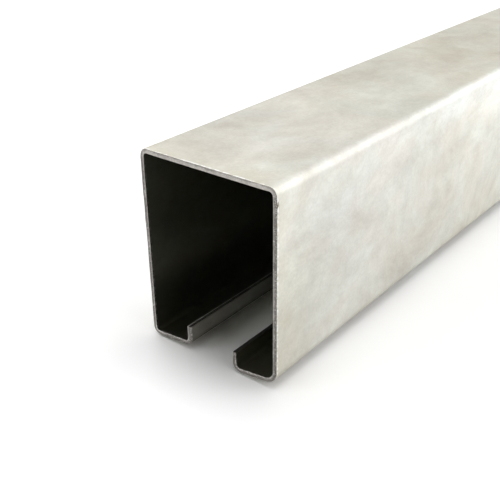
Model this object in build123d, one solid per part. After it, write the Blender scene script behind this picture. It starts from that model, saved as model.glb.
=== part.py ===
from build123d import *
import os

# Box rail: a sliding-door track, cold rolled from one strip of galvanised sheet steel.
# X runs across the rail, Y along it and Z up. The origin is at mid-length, midway across
# the slot, on the level floor that the bottom flanges lie on.

# Driving dimensions, in millimetres
rail_length = 1829.0        # one stock length, 6 ft
rail_width = 47.6           # over the side walls, 1 7/8 in
rail_height = 61.1          # from the underside of the flanges to the top
sheet_thickness = 1.3       # 18 gauge galvanised strip
inside_bend_radius = 1.2    # left by the forming rolls at every bend
slot_width = 16.0           # clear between the lips, for the shank of a hanger
lip_height = 6.6            # of the turned-up strip edges, from the underside of the flanges

outside_bend_radius = inside_bend_radius + sheet_thickness


def strip_outer_skin():
    """The outer skin of the strip across the rail, from lip to lip, with every bend rounded."""
    left_half = [
        (-slot_width / 2, lip_height),
        (-slot_width / 2, 0),
        (-rail_width / 2, 0),
        (-rail_width / 2, rail_height),
    ]
    right_half = [(-x, z) for x, z in reversed(left_half)]
    return FilletPolyline(*left_half, *right_half, radius=outside_bend_radius)


def rail_section():
    """The section of the rail: the skin thickened inwards by the sheet, with square slit edges."""
    sheet_outline = offset(strip_outer_skin(), amount=sheet_thickness, side=Side.RIGHT, closed=True)
    return Plane.XZ * make_face(sheet_outline)


# Rolled rail, cut square to length at both ends
box_rail = extrude(rail_section(), amount=rail_length / 2, both=True)
box_rail.label = "box_rail"

os.makedirs("parts", exist_ok=True)
export_step(box_rail, "parts/box_rail.step")
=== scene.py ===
import math

import bpy
import numpy as np
from mathutils import Matrix, Vector


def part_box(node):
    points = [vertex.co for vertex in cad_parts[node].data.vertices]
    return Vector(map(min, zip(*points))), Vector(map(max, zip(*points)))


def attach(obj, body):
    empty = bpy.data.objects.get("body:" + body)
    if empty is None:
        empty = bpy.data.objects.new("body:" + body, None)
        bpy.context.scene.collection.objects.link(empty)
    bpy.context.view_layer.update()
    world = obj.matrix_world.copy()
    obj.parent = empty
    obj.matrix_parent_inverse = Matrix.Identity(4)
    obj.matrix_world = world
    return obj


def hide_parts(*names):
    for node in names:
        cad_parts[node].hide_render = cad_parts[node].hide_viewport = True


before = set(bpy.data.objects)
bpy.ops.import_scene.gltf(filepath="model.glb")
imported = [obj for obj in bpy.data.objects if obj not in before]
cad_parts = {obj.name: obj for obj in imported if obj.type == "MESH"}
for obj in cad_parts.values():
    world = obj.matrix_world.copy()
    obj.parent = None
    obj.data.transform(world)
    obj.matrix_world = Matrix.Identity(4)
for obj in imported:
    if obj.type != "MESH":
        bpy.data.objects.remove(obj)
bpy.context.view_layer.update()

# Box rail
# One strip of galvanised sheet steel, cold rolled into a box with a slot below it and a turned-up
# lip on either side of the slot, then sawn to length. At the cuts the flanges have sprung a little
# out of square, the outer edge is rubbed bright, its brightness partly a painted highlight, and a ragged
# burr stands on the inner edge, painted bright as a glint.

millimetre = 0.001
rail_low, rail_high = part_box("box_rail")
rail_length = rail_high.y - rail_low.y
half_width = rail_high.x
rail_height = rail_high.z
sheet = 0.0013
half_slot = 0.008
lip_height = 0.0066
bend_radius = 0.0025             # on the outer skin

wall_inset = 0.00016             # how far the walls lean in under the top
wall_inset_depth = 0.0050        # and how far below the top that begins
top_dish = 0.00015               # how far the top sinks between its bends
top_dish_edge = 0.0048           # and how far in from the walls that begins
gentle_radius = 0.055            # of the slight bends that lead into these two

left_flange_rise = 0.0016        # at the slot, near a cut
right_foot_rise = 0.0021         # at the wall, near a cut
right_foot_bend_radius = 0.0045
spring_full = 0.25               # the flanges are fully sprung up to here from a cut
spring_none = 0.60               # and square from here on

least_rub = 0.00010              # radius of the rubbed outer edge of a cut, where it is sharpest
extra_rub = 0.00026              # and the most that is added to it elsewhere
tallest_burr = 0.00020           # on the inner edge of a cut, along the flanges
burr_elsewhere = 0.15            # share of it higher up the section
burr_reach = 0.0009              # from the cut
burr_steepness = 6               # how closely it keeps to the innermost layers
slit_edge_radius = 0.00025
wear_seed = 41
rub_spacing = 7                  # points across the rail from one radius of the rub to the next
burr_spacing = 1                 # and from one height of the burr to the next

point_spacing = 0.0006           # across the rail
bend_steps = 9
wide_from = 0.06                 # from here on from a cut, the drawn sections stand wide apart
wide_count = 34
sharp_angle = math.radians(50)   # edges that turn more than this stay sharp


def skin_corners(spring):
    """Corners of the strip's outer skin across the rail, lip to lip, and the radius of each bend."""
    left_rise = left_flange_rise * spring
    corners = [
        (-half_slot, left_rise + lip_height),
        (-half_slot, left_rise),
        (-half_width, 0.0),
        (-half_width, rail_height - wall_inset_depth),
        (wall_inset - half_width, rail_height),
        (top_dish_edge - half_width, rail_height - top_dish),
        (half_width - top_dish_edge, rail_height - top_dish),
        (half_width - wall_inset, rail_height),
        (half_width, rail_height - wall_inset_depth),
        (half_width, right_foot_rise * spring),
        (half_slot, 0.0),
        (half_slot, lip_height),
    ]
    right_foot = bend_radius + (right_foot_bend_radius - bend_radius) * spring
    foot_bends = [bend_radius, bend_radius]
    top_bends = [gentle_radius, bend_radius, gentle_radius]
    return np.array(corners), foot_bends + top_bends + top_bends[::-1] + [right_foot, bend_radius]


def unit(step):
    """The direction of a step, as a step of length 1."""
    return step / np.linalg.norm(step)


def skin_line(spring):
    """Points of the outer skin across the rail, and at each one the direction into the sheet."""
    corners, radii = skin_corners(spring)
    unsprung, _ = skin_corners(0.0)
    points, inwards = [], []
    start = corners[0]
    for i in range(len(corners) - 1):
        along = unit(corners[i + 1] - corners[i])
        into = np.array([along[1], -along[0]])
        steps = max(4, round(np.linalg.norm(unsprung[i + 1] - unsprung[i]) / point_spacing))
        if i == len(radii):
            for share in np.linspace(0, 1, steps + 1):
                points.append(start + (corners[-1] - start) * share)
                inwards.append(into)
            break
        onward = unit(corners[i + 2] - corners[i + 1])
        turn = math.atan2(into @ onward, along @ onward)
        radius = math.copysign(radii[i], turn)
        tangent = radius * math.tan(turn / 2)
        stop = corners[i + 1] - along * tangent
        for share in np.linspace(0, 1, steps, endpoint=False):
            points.append(start + (stop - start) * share)
            inwards.append(into)
        centre = stop + into * radius
        for angle in np.linspace(0, turn, bend_steps, endpoint=False):
            turned = into * math.cos(angle) - along * math.sin(angle)
            points.append(centre - turned * radius)
            inwards.append(turned)
        start = corners[i + 1] + onward * tangent
    return np.array(points), np.array(inwards)


def rail_stations():
    """Distances from the near cut at which the section is drawn: close at the cuts, wide between."""
    at_cut = np.array([0, 0.08, 0.2, 0.4, 0.7, 1.2, 2, 4, 8, 16, 32]) * millimetre
    between = np.linspace(wide_from, rail_length - wide_from, wide_count)
    return np.concatenate([at_cut, between, rail_length - at_cut[::-1]])


def ragged(rng, count, spacing):
    """Seeded uneven values from 0 to 1 along a line of points, a new one every so many points."""
    knots = rng.uniform(0, 1, count // spacing + 2)
    return np.interp(np.arange(count) / spacing, np.arange(len(knots)), knots)


def round_over(away, depth, radius):
    """Moves points onto a round edge; away and depth are their distances from its two faces."""
    never_zero = 1e-9
    at_edge = (away < radius) & (depth < radius)
    pull = radius / np.maximum(np.hypot(radius - away, radius - depth), never_zero)
    return (
        np.where(at_edge, radius - (radius - away) * pull, away),
        np.where(at_edge, radius - (radius - depth) * pull, depth),
    )


def rail_mesh():
    """The rail as one closed skin: outer face, inner face, two sawn ends and two slit strip edges."""
    rng = np.random.default_rng(wear_seed)
    stations = rail_stations()
    to_cut = np.minimum(stations, rail_length - stations)
    ease = np.clip((spring_none - to_cut) / (spring_none - spring_full), 0, 1)
    lines = [skin_line(spring) for spring in ease * ease * (3 - 2 * ease)]
    skin = np.stack([points for points, _ in lines], axis=1)
    inward = np.stack([inwards for _, inwards in lines], axis=1)
    across, along = skin.shape[:2]

    # Layers through the sheet, with the outer edge of each cut rubbed round
    layer_shares = np.array([0, 0.05, 0.14, 0.27, 0.5, 0.73, 0.87, 0.95, 1])
    layers = layer_shares * sheet
    shape = (across, along, len(layers))
    depth = np.broadcast_to(layers, shape)
    away = np.broadcast_to(to_cut[:, None], shape)
    rubbed_edge = least_rub + extra_rub * ragged(rng, across, rub_spacing)
    away, depth = round_over(away, depth, rubbed_edge[:, None, None])

    # The burr pushes the innermost layers on into the rail
    on_flange = np.where(skin[:, 0, 1] < lip_height / 2, 1.0, burr_elsewhere)
    burr_height = tallest_burr * ragged(rng, across, burr_spacing) ** 2 * on_flange
    standing = np.clip(1 - to_cut / burr_reach, 0, 1) ** 2
    innermost = (layers / sheet) ** burr_steepness
    depth = depth + burr_height[:, None, None] * standing[:, None] * innermost

    # Both corners of each slit edge are rounded
    run = np.cumsum(np.linalg.norm(np.diff(skin, axis=0, prepend=skin[:1]), axis=2), axis=0)
    slide = np.zeros(shape)
    for sign, from_slit in ((1, run), (-1, run[-1] - run)):
        start = np.broadcast_to(from_slit[..., None], shape)
        moved, depth = round_over(start, depth, slit_edge_radius)
        moved, rest = round_over(moved, sheet - depth, slit_edge_radius)
        depth = sheet - rest
        slide = slide + sign * (moved - start)

    ahead = np.stack([-inward[..., 1], inward[..., 0]], axis=-1)
    place = skin[:, :, None] + inward[:, :, None] * depth[..., None] + ahead[:, :, None] * slide[..., None]
    near_half = stations[:, None] <= rail_length / 2
    y = np.where(near_half, rail_low.y + away, rail_high.y - away)
    vertices = np.stack([place[..., 0], y, place[..., 1]], axis=-1).reshape(-1, 3)

    # The six faces of the sheet, each with its own finish
    number = np.arange(len(vertices)).reshape(shape)
    zinc_out, zinc_in, cut, slit = 0, 1, 2, 3
    faces, finish = [], []
    for grid, kind, turned in (
        (number[:, :, 0], zinc_out, True),
        (number[:, :, -1], zinc_in, False),
        (number[:, 0], cut, False),
        (number[:, -1], cut, True),
        (number[0], slit, True),
        (number[-1], slit, False),
    ):
        corners = [grid[:-1, :-1], grid[1:, :-1], grid[1:, 1:], grid[:-1, 1:]]
        quads = np.stack(corners, axis=-1).reshape(-1, 4)
        faces.append(quads[:, ::-1] if turned else quads)
        finish += [kind] * len(quads)
    used, faces = np.unique(np.concatenate(faces), return_inverse=True)
    mesh = bpy.data.meshes.new("box_rail_skin")
    mesh.from_pydata(vertices[used].tolist(), [], faces.reshape(-1, 4).tolist())
    mesh.polygons.foreach_set("material_index", finish)
    mesh.shade_smooth()
    mesh.set_sharp_from_angle(angle=sharp_angle)

    # How far through the sheet each point lies, for the finish of the cuts and the slit edges
    through = mesh.attributes.new("through_sheet", "FLOAT", "POINT")
    share_through = np.broadcast_to(layers / sheet, shape).reshape(-1)
    through.data.foreach_set("value", share_through[used].astype("f4"))
    return mesh


def add_node(tree, kind, sockets=None, **settings):
    """Adds a node; a socket is given a value, or the output that feeds it."""
    node = tree.nodes.new(kind)
    for name, setting in settings.items():
        setattr(node, name, setting)
    fill_sockets(tree, node, sockets or {})
    return node


def fill_sockets(tree, node, sockets):
    """Gives each named socket of a node its value, or the output that feeds it."""
    for name, value in sockets.items():
        if isinstance(value, bpy.types.NodeSocket):
            tree.links.new(value, node.inputs[name])
        else:
            node.inputs[name].default_value = value


def new_finish(name):
    """A material with one shader, and the coordinates of the rail's own frame in metres."""
    material = bpy.data.materials.new(name)
    material.use_nodes = True
    tree = material.node_tree
    coords = add_node(tree, "ShaderNodeTexCoord").outputs["Object"]
    return material, tree, tree.nodes["Principled BSDF"], coords


def clouds(tree, coords, size, seed, detail=2.0, roughness=0.5, distortion=0.0):
    """Soft noise from 0 to 1 with patches about so many metres wide; the seed picks the pattern."""
    sockets = {
        "Vector": coords,
        "W": seed,
        "Scale": 1 / size,
        "Detail": detail,
        "Roughness": roughness,
        "Distortion": distortion,
    }
    return add_node(tree, "ShaderNodeTexNoise", sockets, noise_dimensions="4D").outputs["Fac"]


def spread(tree, value, start, stop, low, high):
    """Maps a value between start and stop onto low to high, and no further."""
    sockets = {"Value": value, "From Min": start, "From Max": stop, "To Min": low, "To Max": high}
    return add_node(tree, "ShaderNodeMapRange", sockets).outputs["Result"]


def worked_out(tree, operation, values):
    """Several values added up or multiplied, one after another."""
    result = values[0]
    for value in values[1:]:
        node = add_node(tree, "ShaderNodeMath", operation=operation)
        tree.links.new(result, node.inputs[0])
        tree.links.new(value, node.inputs[1])
        result = node.outputs["Value"]
    return result


def times(tree, *values):
    """The product of several values."""
    return worked_out(tree, "MULTIPLY", values)


def plus(tree, *values):
    """The sum of several values."""
    return worked_out(tree, "ADD", values)


def without_sign(tree, value):
    """How far a value lies from 0."""
    node = add_node(tree, "ShaderNodeMath", operation="ABSOLUTE")
    tree.links.new(value, node.inputs[0])
    return node.outputs["Value"]


def parts_of(tree, coords):
    """The X, Y and Z of some coordinates, each by its letter."""
    return add_node(tree, "ShaderNodeSeparateXYZ", {"Vector": coords}).outputs


def blend_colours(tree, share, first, second):
    """The first colour where the share is 0 and the second where it is 1."""
    sockets = {"Factor": share, "A": first, "B": second}
    return add_node(tree, "ShaderNodeMix", sockets, data_type="RGBA").outputs["Result"]


def multiply_colours(tree, first, second):
    """The first colour times the shares that the second one keeps of its red, green and blue."""
    sockets = {"Factor": 1.0, "A": first, "B": second}
    node = add_node(tree, "ShaderNodeMix", sockets, data_type="RGBA", blend_type="MULTIPLY")
    return node.outputs["Result"]


def shaded(tree, colour, level):
    """A colour made lighter or darker by a level."""
    sockets = {"Vector": colour, "Scale": level}
    return add_node(tree, "ShaderNodeVectorMath", sockets, operation="SCALE").outputs["Vector"]


def bumps(tree, height, strength, distance):
    """The tilt of a surface that a height roughens by so many metres."""
    sockets = {"Height": height, "Strength": strength, "Distance": distance}
    return add_node(tree, "ShaderNodeBump", sockets).outputs["Normal"]


def share_through_sheet(tree):
    """0 on the outer skin of the strip and 1 on the inner."""
    return add_node(tree, "ShaderNodeAttribute", attribute_name="through_sheet").outputs["Fac"]


def slot_painted_shade(tree, coords):
    """1 on the lips and in the mouth of the slot, where painted shade goes, and the same low down only."""
    beside_lip = half_slot + 0.0005
    clear_of_lip = half_slot + 0.002
    low_down = 0.0020
    above_that = 0.0045
    place = parts_of(tree, coords)
    beside = spread(tree, without_sign(tree, place["X"]), clear_of_lip, beside_lip, 0, 1)
    on_lips = times(tree, beside, spread(tree, place["Z"], 2 * lip_height, lip_height, 0, 1))
    return on_lips, times(tree, on_lips, spread(tree, place["Z"], above_that, low_down, 0, 1))


def nearness_to_cut(tree, coords, reach):
    """1 at a sawn end, falling to 0 at a distance from it."""
    from_middle = without_sign(tree, parts_of(tree, coords)["Y"])
    end = rail_length / 2
    return spread(tree, from_middle, end - reach, end, 0, 1)


def drawn_out(tree, coords, times_longer):
    """Coordinates in which marks come out so many times longer along the rail."""
    sockets = {"Vector": coords, "Scale": (1, 1 / times_longer, 1)}
    return add_node(tree, "ShaderNodeMapping", sockets).outputs["Vector"]


def wobbled(tree, coords, size, reach):
    """Coordinates pushed about by soft noise, so that what is drawn with them gets an uneven outline."""
    noise = add_node(tree, "ShaderNodeTexNoise", {"Vector": coords, "Scale": 1 / size, "Detail": 3.0})
    push = add_node(tree, "ShaderNodeMapping", {
        "Vector": noise.outputs["Color"],
        "Location": (-reach / 2,) * 3,
        "Scale": (reach,) * 3,
    })
    moved = add_node(tree, "ShaderNodeVectorMath", operation="ADD")
    tree.links.new(coords, moved.inputs[0])
    tree.links.new(push.outputs["Vector"], moved.inputs[1])
    return moved.outputs["Vector"]


def stain_or_painted_light(tree, coords, colour, centre, reach, kept):
    """A colour with a stain or painted light on it, full at its centre and gone at its reach, both in
    millimetres.

    The centre is given across the rail, along it from the near cut, and up. The stain keeps a share
    of the colour's red, green and blue: below 1 it darkens, as a stain or as painted shade, and above 1
    it is a rubbed, paler place or a painted highlight.
    """
    across, from_cut, up = centre
    place = (across * millimetre, rail_low.y + from_cut * millimetre, up * millimetre)
    sockets = {"Vector": coords, "Location": place, "Scale": tuple(size * millimetre for size in reach)}
    spot = add_node(tree, "ShaderNodeMapping", sockets, vector_type="TEXTURE").outputs["Vector"]
    length = add_node(tree, "ShaderNodeVectorMath", {"Vector": spot}, operation="LENGTH")
    share = spread(tree, length.outputs["Value"], 1.0, 0.3, 0, 1)
    return blend_colours(tree, share, colour, multiply_colours(tree, colour, kept))


def zinc_finish(name, cool, warm, aged, smudged, rubbed_and_sheen, roughness, stains_and_painted_light=(), marks=()):
    """Hot-dip zinc: pale metal in cool and warm patches, clouded by stains, yellower by the cuts.

    Stains have uneven outlines, and marks clean ones; painted shade and painted highlight are given among
    both.
    """
    stained = (0.808, 0.794, 0.782, 1)
    clean = (1.16, 1.172, 1.183, 1)
    aged_reach = 0.016               # these three are measured from a cut
    thin_grime_reach = 0.10
    rim_reach = 0.0009
    material, tree, shader, coords = new_finish(name)
    rolled = drawn_out(tree, coords, 1.25)
    patch_noise = clouds(tree, rolled, size=0.016, seed=3.0, detail=3.0, roughness=0.55, distortion=0.5)
    tint = blend_colours(tree, spread(tree, patch_noise, 0.42, 0.58, 0, 1), warm, cool)
    age_noise = clouds(tree, coords, size=0.008, seed=9.0)
    age = times(tree, nearness_to_cut(tree, coords, aged_reach), age_noise)
    tint = blend_colours(tree, age, tint, aged)

    # Clouds, smudges and stains, with painted shade and painted highlight among the stains
    stain_noise = clouds(tree, rolled, size=0.026, seed=5.0, detail=6.0, roughness=0.75, distortion=0.4)
    clouding = blend_colours(tree, spread(tree, stain_noise, 0.3, 0.7, 0, 1), stained, clean)
    smudge_noise = clouds(tree, rolled, size=0.024, seed=31.0, detail=4.0, roughness=0.6, distortion=0.3)
    smudge = spread(tree, smudge_noise, 0.50, 0.68, 0, 1)
    clouding = blend_colours(tree, smudge, clouding, multiply_colours(tree, clouding, smudged))
    colour = multiply_colours(tree, tint, clouding)
    uneven = wobbled(tree, coords, size=0.010, reach=0.010)
    for centre, reach, kept in stains_and_painted_light:
        colour = stain_or_painted_light(tree, uneven, colour, centre, reach, kept)

    # Crystal grain, and the fine lines that the rolls leave
    grain_noise = clouds(tree, coords, size=0.0008, seed=7.0, roughness=0.6)
    colour = shaded(tree, colour, spread(tree, grain_noise, 0.3, 0.7, 0.96, 1.04))
    rolling_lines = clouds(tree, drawn_out(tree, coords, 60), size=0.0010, seed=17.0, roughness=0.6)
    colour = shaded(tree, colour, spread(tree, rolling_lines, 0.3, 0.7, 0.993, 1.007))

    # Painted shade in the slot, deeper low down and farther from the cuts
    in_slot, low_in_slot = slot_painted_shade(tree, coords)
    colour = shaded(tree, colour, spread(tree, in_slot, 0, 1, 1, 0.58))
    colour = shaded(tree, colour, spread(tree, low_in_slot, 0, 1, 1, 0.60))
    farther_in = spread(tree, nearness_to_cut(tree, coords, thin_grime_reach), 0.85, 0.45, 0, 1)
    colour = shaded(tree, colour, spread(tree, times(tree, in_slot, farther_in), 0, 1, 1, 0.55))
    for centre, reach, kept in marks:
        colour = stain_or_painted_light(tree, coords, colour, centre, reach, kept)

    # The rim of each cut, rubbed bright in places: rubbed zinc, painted brighter as a highlight
    at_rim = spread(tree, nearness_to_cut(tree, coords, rim_reach), 0.2, 0.5, 0, 1)
    rim_noise = clouds(tree, coords, size=0.0014, seed=14.0, detail=3.0, roughness=0.6)
    rim = times(tree, at_rim, spread(tree, rim_noise, 0.46, 0.56, 0, 1))
    colour = blend_colours(tree, rim, colour, rubbed_and_sheen)
    fill_sockets(tree, shader, {
        "Base Color": colour,
        "Metallic": 1.0,
        "Roughness": spread(tree, stain_noise, 0.3, 0.7, roughness + 0.07, roughness - 0.06),
        "Specular Tint": (1.0, 0.975, 0.88, 1),
        "Normal": bumps(tree, grain_noise, strength=0.12, distance=0.00005),
    })
    return material


def cut_finish(name, torn, burnished, speck, rusty, burr_and_glint):
    """Bare steel at a cut: torn dull grey on the outer side, burnished on the inner, specked all over."""
    top_band = 0.0015
    top_fade = 0.0035
    foot_band = 0.0025
    foot_fade = 0.0050
    material, tree, shader, coords = new_finish(name)
    specks = clouds(tree, coords, size=0.00045, seed=21.0, roughness=0.7)
    through = share_through_sheet(tree)
    height = parts_of(tree, coords)["Z"]
    on_top = spread(tree, height, rail_height - top_fade, rail_height - top_band, 0, 1)
    at_foot = spread(tree, height, foot_fade, foot_band, 0, 1)

    # Torn and burnished steel, made paler along the top and at the foot as painted light: a painted
    # highlight on top, and at the foot lifted out of its shade
    wander = spread(tree, clouds(tree, coords, size=0.0022, seed=23.0), 0.3, 0.7, -0.3, 0.3)
    zone = plus(tree, through, spread(tree, on_top, 0, 1, 0, 0.40), wander)
    colour = blend_colours(tree, spread(tree, zone, 0.55, 0.85, 0, 1), torn, burnished)
    tearing = clouds(tree, coords, size=0.0011, seed=25.0)
    colour = shaded(tree, colour, spread(tree, tearing, 0.35, 0.65, 0.86, 1.12))
    colour = shaded(tree, colour, spread(tree, on_top, 0, 1, 1.0, 1.50))
    colour = shaded(tree, colour, spread(tree, at_foot, 0, 1, 1.0, 1.35))
    colour = blend_colours(tree, spread(tree, specks, 0.56, 0.64, 0, 0.7), colour, speck)

    # Rust here and there on the outer edge, and the burr on the inner, mainly at the foot: bright steel,
    # painted brighter as a glint
    outer_edge = spread(tree, through, 0.16, 0.06, 0, 0.8)
    in_places = spread(tree, clouds(tree, coords, size=0.0060, seed=27.0, detail=3.0), 0.47, 0.58, 0, 1)
    colour = blend_colours(tree, times(tree, outer_edge, in_places), colour, rusty)
    inner_side = plus(tree, through, spread(tree, specks, 0.3, 0.7, -0.12, 0.12))
    inner_edge = spread(tree, inner_side, 0.74, 0.88, 0, 1)
    mainly_at_foot = spread(tree, at_foot, 0, 1, 0.15, 1)
    broken = spread(tree, clouds(tree, coords, size=0.0013, seed=35.0), 0.42, 0.54, 0.15, 0.95)
    colour = blend_colours(tree, times(tree, inner_edge, mainly_at_foot, broken), colour, burr_and_glint)
    fill_sockets(tree, shader, {
        "Base Color": colour,
        "Metallic": 1.0,
        "Roughness": spread(tree, specks, 0.3, 0.7, 0.38, 0.58),
        "Normal": bumps(tree, specks, strength=0.6, distance=0.0001),
    })
    return material


def slit_finish(name, dull, bloom):
    """The strip's slit edge: dull steel, with chalky zinc bloom along the left lip's inner corner."""
    material, tree, shader, coords = new_finish(name)
    wander = spread(tree, clouds(tree, coords, size=0.004, seed=33.0), 0.3, 0.7, -0.06, 0.06)
    inner_corner = spread(tree, plus(tree, share_through_sheet(tree), wander), 0.66, 0.80, 0, 1)
    on_left_lip = spread(tree, parts_of(tree, coords)["X"], -millimetre, millimetre, 1, 0)
    bloomed = times(tree, inner_corner, on_left_lip)
    fill_sockets(tree, shader, {
        "Base Color": blend_colours(tree, bloomed, dull, bloom),
        "Metallic": spread(tree, bloomed, 0, 1, 1, 0),
        "Roughness": 0.55,
    })
    return material


box_rail = bpy.data.objects.new("rolled_rail", rail_mesh())
bpy.context.scene.collection.objects.link(box_rail)

# The outside has stains on the top, then dull and rubbed places on the right wall, with painted shade over
# the top a little way from the near cut and painted highlight high on the right wall under the long bend.
# Its marks are the chip on the near cut, a painted highlight along the long bend, and painted contact
# shadow along the feet of both walls.
box_rail.data.materials.append(zinc_finish(
    "zinc_outside",
    cool=(0.772, 0.783, 0.745, 1),
    warm=(0.752, 0.735, 0.692, 1),
    aged=(0.765, 0.740, 0.630, 1),
    smudged=(0.95, 0.935, 0.91, 1),
    rubbed_and_sheen=(0.97, 0.97, 0.95, 1),
    roughness=0.41,
    stains_and_painted_light=(
        ((-14, 90, 61), (13, 18, 8), (0.89, 0.875, 0.845, 1)),
        ((13, 20, 61), (6, 9, 8), (0.93, 0.92, 0.90, 1)),
        ((-10, 31, 61), (5, 5, 8), (0.95, 0.945, 0.93, 1)),
        ((18, 108, 61), (7, 30, 8), (0.94, 0.93, 0.91, 1)),
        ((20, 72, 61), (9, 24, 8), (0.89, 0.885, 0.87, 1)),
        # painted shade: the top made dimmer around 160 mm from the near cut
        ((0, 160, 61), (45, 90, 12), (0.92, 0.915, 0.885, 1)),
        ((24, 86, 21), (8, 10, 10), (0.94, 0.935, 0.93, 1)),
        ((24, 50, 34), (8, 14, 11), (0.965, 0.965, 0.965, 1)),
        ((24, 130, 20), (8, 14, 12), (0.95, 0.945, 0.94, 1)),
        ((24, 8, 24), (8, 28, 26), (0.93, 0.92, 0.90, 1)),
        ((24, 31, 43), (8, 12, 9), (1.04, 1.045, 1.06, 1)),
        ((24, 70, 27), (8, 18, 10), (1.02, 1.025, 1.04, 1)),
        ((24, 110, 39), (8, 8, 8), (1.04, 1.04, 1.045, 1)),
        ((24, 100, 52), (8, 32, 12), (1.03, 1.03, 1.035, 1)),
        # painted highlight: this and the next two paler places, high on the right wall just under the long
        # bend, spread the bend's highlight onto the wall
        ((24, 124, 54), (8, 30, 13), (1.13, 1.135, 1.14, 1)),
        ((24, 66, 57), (8, 22, 9), (1.09, 1.095, 1.10, 1)),
        ((24, 24, 57), (8, 24, 9), (1.10, 1.10, 1.10, 1)),
    ),
    marks=(
        ((23.8, 0, 56.5), (1.2, 0.9, 2.6), (0.28, 0.23, 0.19, 1)),
        # painted highlight along the long bend
        ((23.4, 190, 58.0), (4.2, 150, 7.0), (1.06, 1.09, 1.14, 1)),
        # painted contact shadow along the feet of both walls, in this line and the next
        ((23.0, 914, 0.0), (6.0, 4000, 6.0), (0.66, 0.65, 0.63, 1)),
        ((-23.0, 914, 0.0), (6.0, 4000, 6.0), (0.66, 0.65, 0.63, 1)),
    ),
))

# The inside is dull and dark: the same zinc painted darker as painted shade, with one darker patch of
# painted shade low on the left by the near cut
box_rail.data.materials.append(zinc_finish(
    "zinc_inside_painted_shade",
    cool=(0.320, 0.340, 0.265, 1),
    warm=(0.340, 0.340, 0.260, 1),
    aged=(0.345, 0.340, 0.265, 1),
    smudged=(0.9, 0.9, 0.9, 1),
    rubbed_and_sheen=(0.50, 0.50, 0.48, 1),
    roughness=0.36,
    stains_and_painted_light=(
        ((-22, 0, 7), (22, 60, 22), (0.58, 0.58, 0.58, 1)),
    ),
))
box_rail.data.materials.append(cut_finish(
    "cut_steel",
    torn=(0.205, 0.193, 0.178, 1),
    burnished=(0.330, 0.314, 0.294, 1),
    speck=(0.70, 0.68, 0.65, 1),
    rusty=(0.16, 0.125, 0.10, 1),
    burr_and_glint=(0.92, 0.90, 0.86, 1),
))
box_rail.data.materials.append(slit_finish(
    "slit_edge",
    dull=(0.09, 0.088, 0.08, 1),
    bloom=(0.62, 0.60, 0.56, 1),
))
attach(box_rail, "root")
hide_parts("box_rail")

# Studio floor
# A plain matt white sheet, laid flat, that the rail lies on and throws its soft shadow on. It is bright
# to the eye, so that it stays white all round, and in the metal it is painted dimmer near the cuts, as
# painted shade.

floor_reach = 20.0
floor_drop = 0.0002              # below the rail's feet
floor_to_eye = 1.12
floor_in_metal = 1.12            # far from the cuts
floor_in_metal_painted_shade_at_cut = 0.91
floor_painted_shade_reach = 0.26       # from a cut

floor_mesh = bpy.data.meshes.new("floor_sheet")
floor_mesh.from_pydata(
    [(x, y, rail_low.z - floor_drop) for x, y in (
        (-floor_reach, -floor_reach),
        (floor_reach, -floor_reach),
        (floor_reach, floor_reach),
        (-floor_reach, floor_reach),
    )], [], [(0, 1, 2, 3)])
floor = bpy.data.objects.new("floor", floor_mesh)
bpy.context.scene.collection.objects.link(floor)


def blend_values(tree, share, first, second):
    """The first value where the share is 0 and the second where it is 1."""
    sockets = {"Factor": share, "A": first, "B": second}
    return add_node(tree, "ShaderNodeMix", sockets).outputs["Result"]


floor_white = bpy.data.materials.new("floor_white")
floor_white.use_nodes = True
floor_tree = floor_white.node_tree
floor_tree.nodes.remove(floor_tree.nodes["Principled BSDF"])
floor_coords = add_node(floor_tree, "ShaderNodeTexCoord").outputs["Object"]
near_cut = nearness_to_cut(floor_tree, floor_coords, floor_painted_shade_reach)
tone_in_metal = spread(floor_tree, near_cut, 0, 1, floor_in_metal, floor_in_metal_painted_shade_at_cut)
to_eye = add_node(floor_tree, "ShaderNodeLightPath").outputs["Is Camera Ray"]
floor_tone = blend_values(floor_tree, to_eye, tone_in_metal, floor_to_eye)
floor_matt = add_node(floor_tree, "ShaderNodeBsdfDiffuse", {"Color": floor_tone})
floor_tree.links.new(floor_matt.outputs["BSDF"], floor_tree.nodes["Material Output"].inputs["Surface"])
floor_mesh.materials.append(floor_white)

# Studio light
# A white tent stands round the rail, dimmer and warmer low on the left, where the top mirrors it. Wide
# lamps overhead, left, right and in front light the floor, and do not show in the metal. One more,
# behind on the right, does show in it, and whitens the long bend along the top.

tent_to_eye = 1.0
tent_in_metal = 1.10
tent_in_metal_low_left = 0.49
tent_on_floor = 0.06
tent_white = (1, 1, 1, 1)
tent_warm_white = (1, 0.965, 0.885, 1)

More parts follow.
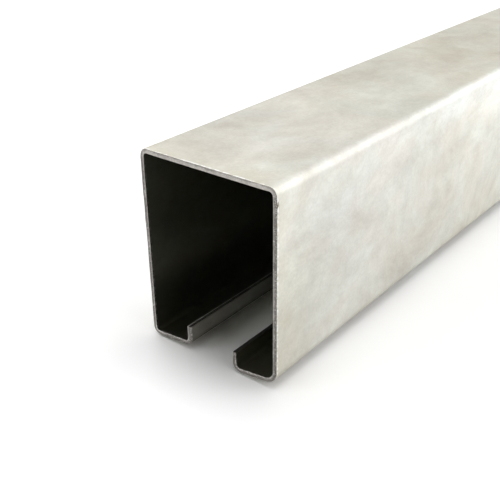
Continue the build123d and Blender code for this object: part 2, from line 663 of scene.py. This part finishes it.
tent = bpy.data.worlds.new("white_tent")
tent.use_nodes = True
tent.cycles.sampling_method = "NONE"
bpy.context.scene.world = tent
tent_tree = tent.node_tree
toward = parts_of(tent_tree, add_node(tent_tree, "ShaderNodeTexCoord").outputs["Generated"])
low_down = spread(tent_tree, toward["Z"], 0.40, 0.16, 0, 1)
on_left = spread(tent_tree, toward["X"], 0.25, -0.15, 0, 1)
low_on_left = times(tent_tree, low_down, on_left)
level_in_metal = spread(tent_tree, low_on_left, 0, 1, tent_in_metal, tent_in_metal_low_left)
way = add_node(tent_tree, "ShaderNodeLightPath").outputs
mirrored = plus(tent_tree, way["Is Glossy Ray"], way["Is Transmission Ray"])
level_unseen = blend_values(tent_tree, mirrored, tent_on_floor, level_in_metal)
tent_warmth = times(tent_tree, mirrored, low_on_left)
fill_sockets(tent_tree, tent_tree.nodes["Background"], {
    "Color": blend_colours(tent_tree, tent_warmth, tent_white, tent_warm_white),
    "Strength": blend_values(tent_tree, way["Is Camera Ray"], level_unseen, tent_to_eye),
})


def hang_lamp(name, direction, strength, degrees_wide, in_metal=False):
    """A far lamp in a direction from the rail, so many degrees wide in the sky, mirrored or not."""
    light = bpy.data.lights.new(name, "SUN")
    light.energy = strength
    light.angle = math.radians(degrees_wide)
    lamp = bpy.data.objects.new(name, light)
    lamp.rotation_euler = Vector(direction).to_track_quat("Z", "Y").to_euler()
    lamp.visible_glossy = in_metal
    bpy.context.scene.collection.objects.link(lamp)


hang_lamp("top_lamp", (0.07, 0.11, 0.985), strength=1.30, degrees_wide=42)
hang_lamp("left_lamp", (-0.62, 0.24, 0.74), strength=1.08, degrees_wide=45)
hang_lamp("right_lamp", (0.82, 0.22, 0.52), strength=1.10, degrees_wide=60)
hang_lamp("front_lamp", (-0.50, -0.62, 0.60), strength=0.50, degrees_wide=36)
hang_lamp("back_lamp", (0.50, 0.74, 0.45), strength=0.31, degrees_wide=54, in_metal=True)

# Camera
# It stands close to the near end, to the right of it and above, and looks along the rail to the left
# and down, as the photograph was taken. Its focal length is given in pixels of the square picture.

camera_place = (0.12958, rail_low.y - 0.14009, 0.13775)
camera_turn = math.radians(39.284)
camera_tilt = math.radians(28.0)
camera_roll = math.radians(-0.78)
focal_pixels = 792.4
picture_pixels = 500
lens = bpy.data.cameras.new("camera")
lens.sensor_width = 36.0
lens.lens = focal_pixels / picture_pixels * lens.sensor_width
lens.clip_start = 0.01
camera = bpy.data.objects.new("camera", lens)
camera.matrix_world = (
    Matrix.Translation(camera_place)
    @ Matrix.Rotation(camera_turn, 4, "Z")
    @ Matrix.Rotation(math.pi / 2 - camera_tilt, 4, "X")
    @ Matrix.Rotation(camera_roll, 4, "Z")
)
bpy.context.scene.collection.objects.link(camera)
bpy.context.scene.camera = camera
bpy.context.scene.view_settings.view_transform = "Standard"
